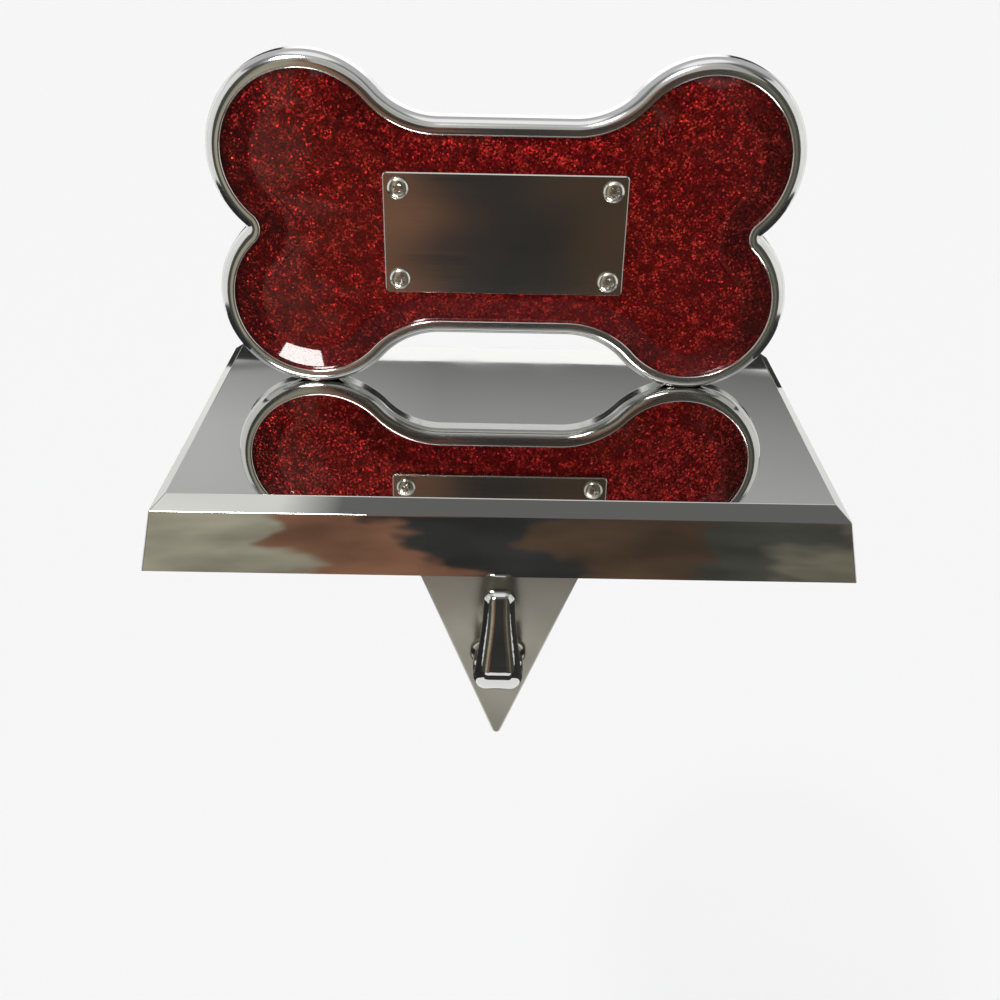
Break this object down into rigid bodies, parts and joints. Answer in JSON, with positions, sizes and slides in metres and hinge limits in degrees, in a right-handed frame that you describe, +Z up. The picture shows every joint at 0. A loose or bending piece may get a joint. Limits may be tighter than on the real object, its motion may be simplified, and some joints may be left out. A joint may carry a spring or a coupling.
{
  "type": "mantel stocking holder",
  "caption": "Mantel stocking holder: weighted bevelled chrome base, upright bone plaque of red glitter resin with a bare name plate, and a drop plate with an upturned hook.",
  "frame": {"origin": "on the mantel top, under the middle of the base", "axes": "+X along the mantel, -Y to the front, where the hook hangs over the mantel's edge, +Z up"},
  "size_m": [0.13, 0.0889, 0.122],
  "materials": {
    "chrome_plating": "mirror chrome plating on a die casting",
    "red_glitter_resin": "clear glossy resin over red glitter flakes",
    "satin_steel": "satin brushed plate",
    "bright_screws": "bright nickel-plated round heads",
    "cast_ballast": "dark as-cast iron",
    "pad_rubber": "fine-celled black foam rubber",
    "zinc_screws": "zinc-plated steel"
  },
  "bodies": {
    "root": {"base_cover": "chrome_plating", "hook_bracket": "chrome_plating", "bone_frame": "chrome_plating", "glitter_panel": "red_glitter_resin", "name_plate": "satin_steel", "name_plate_screws": "bright_screws", "ballast_weight": "cast_ballast", "base_pad": "pad_rubber", "ballast_screws": "zinc_screws", "bracket_screws": "zinc_screws", "bone_screws": "zinc_screws"}
  },
  "joints": []
}
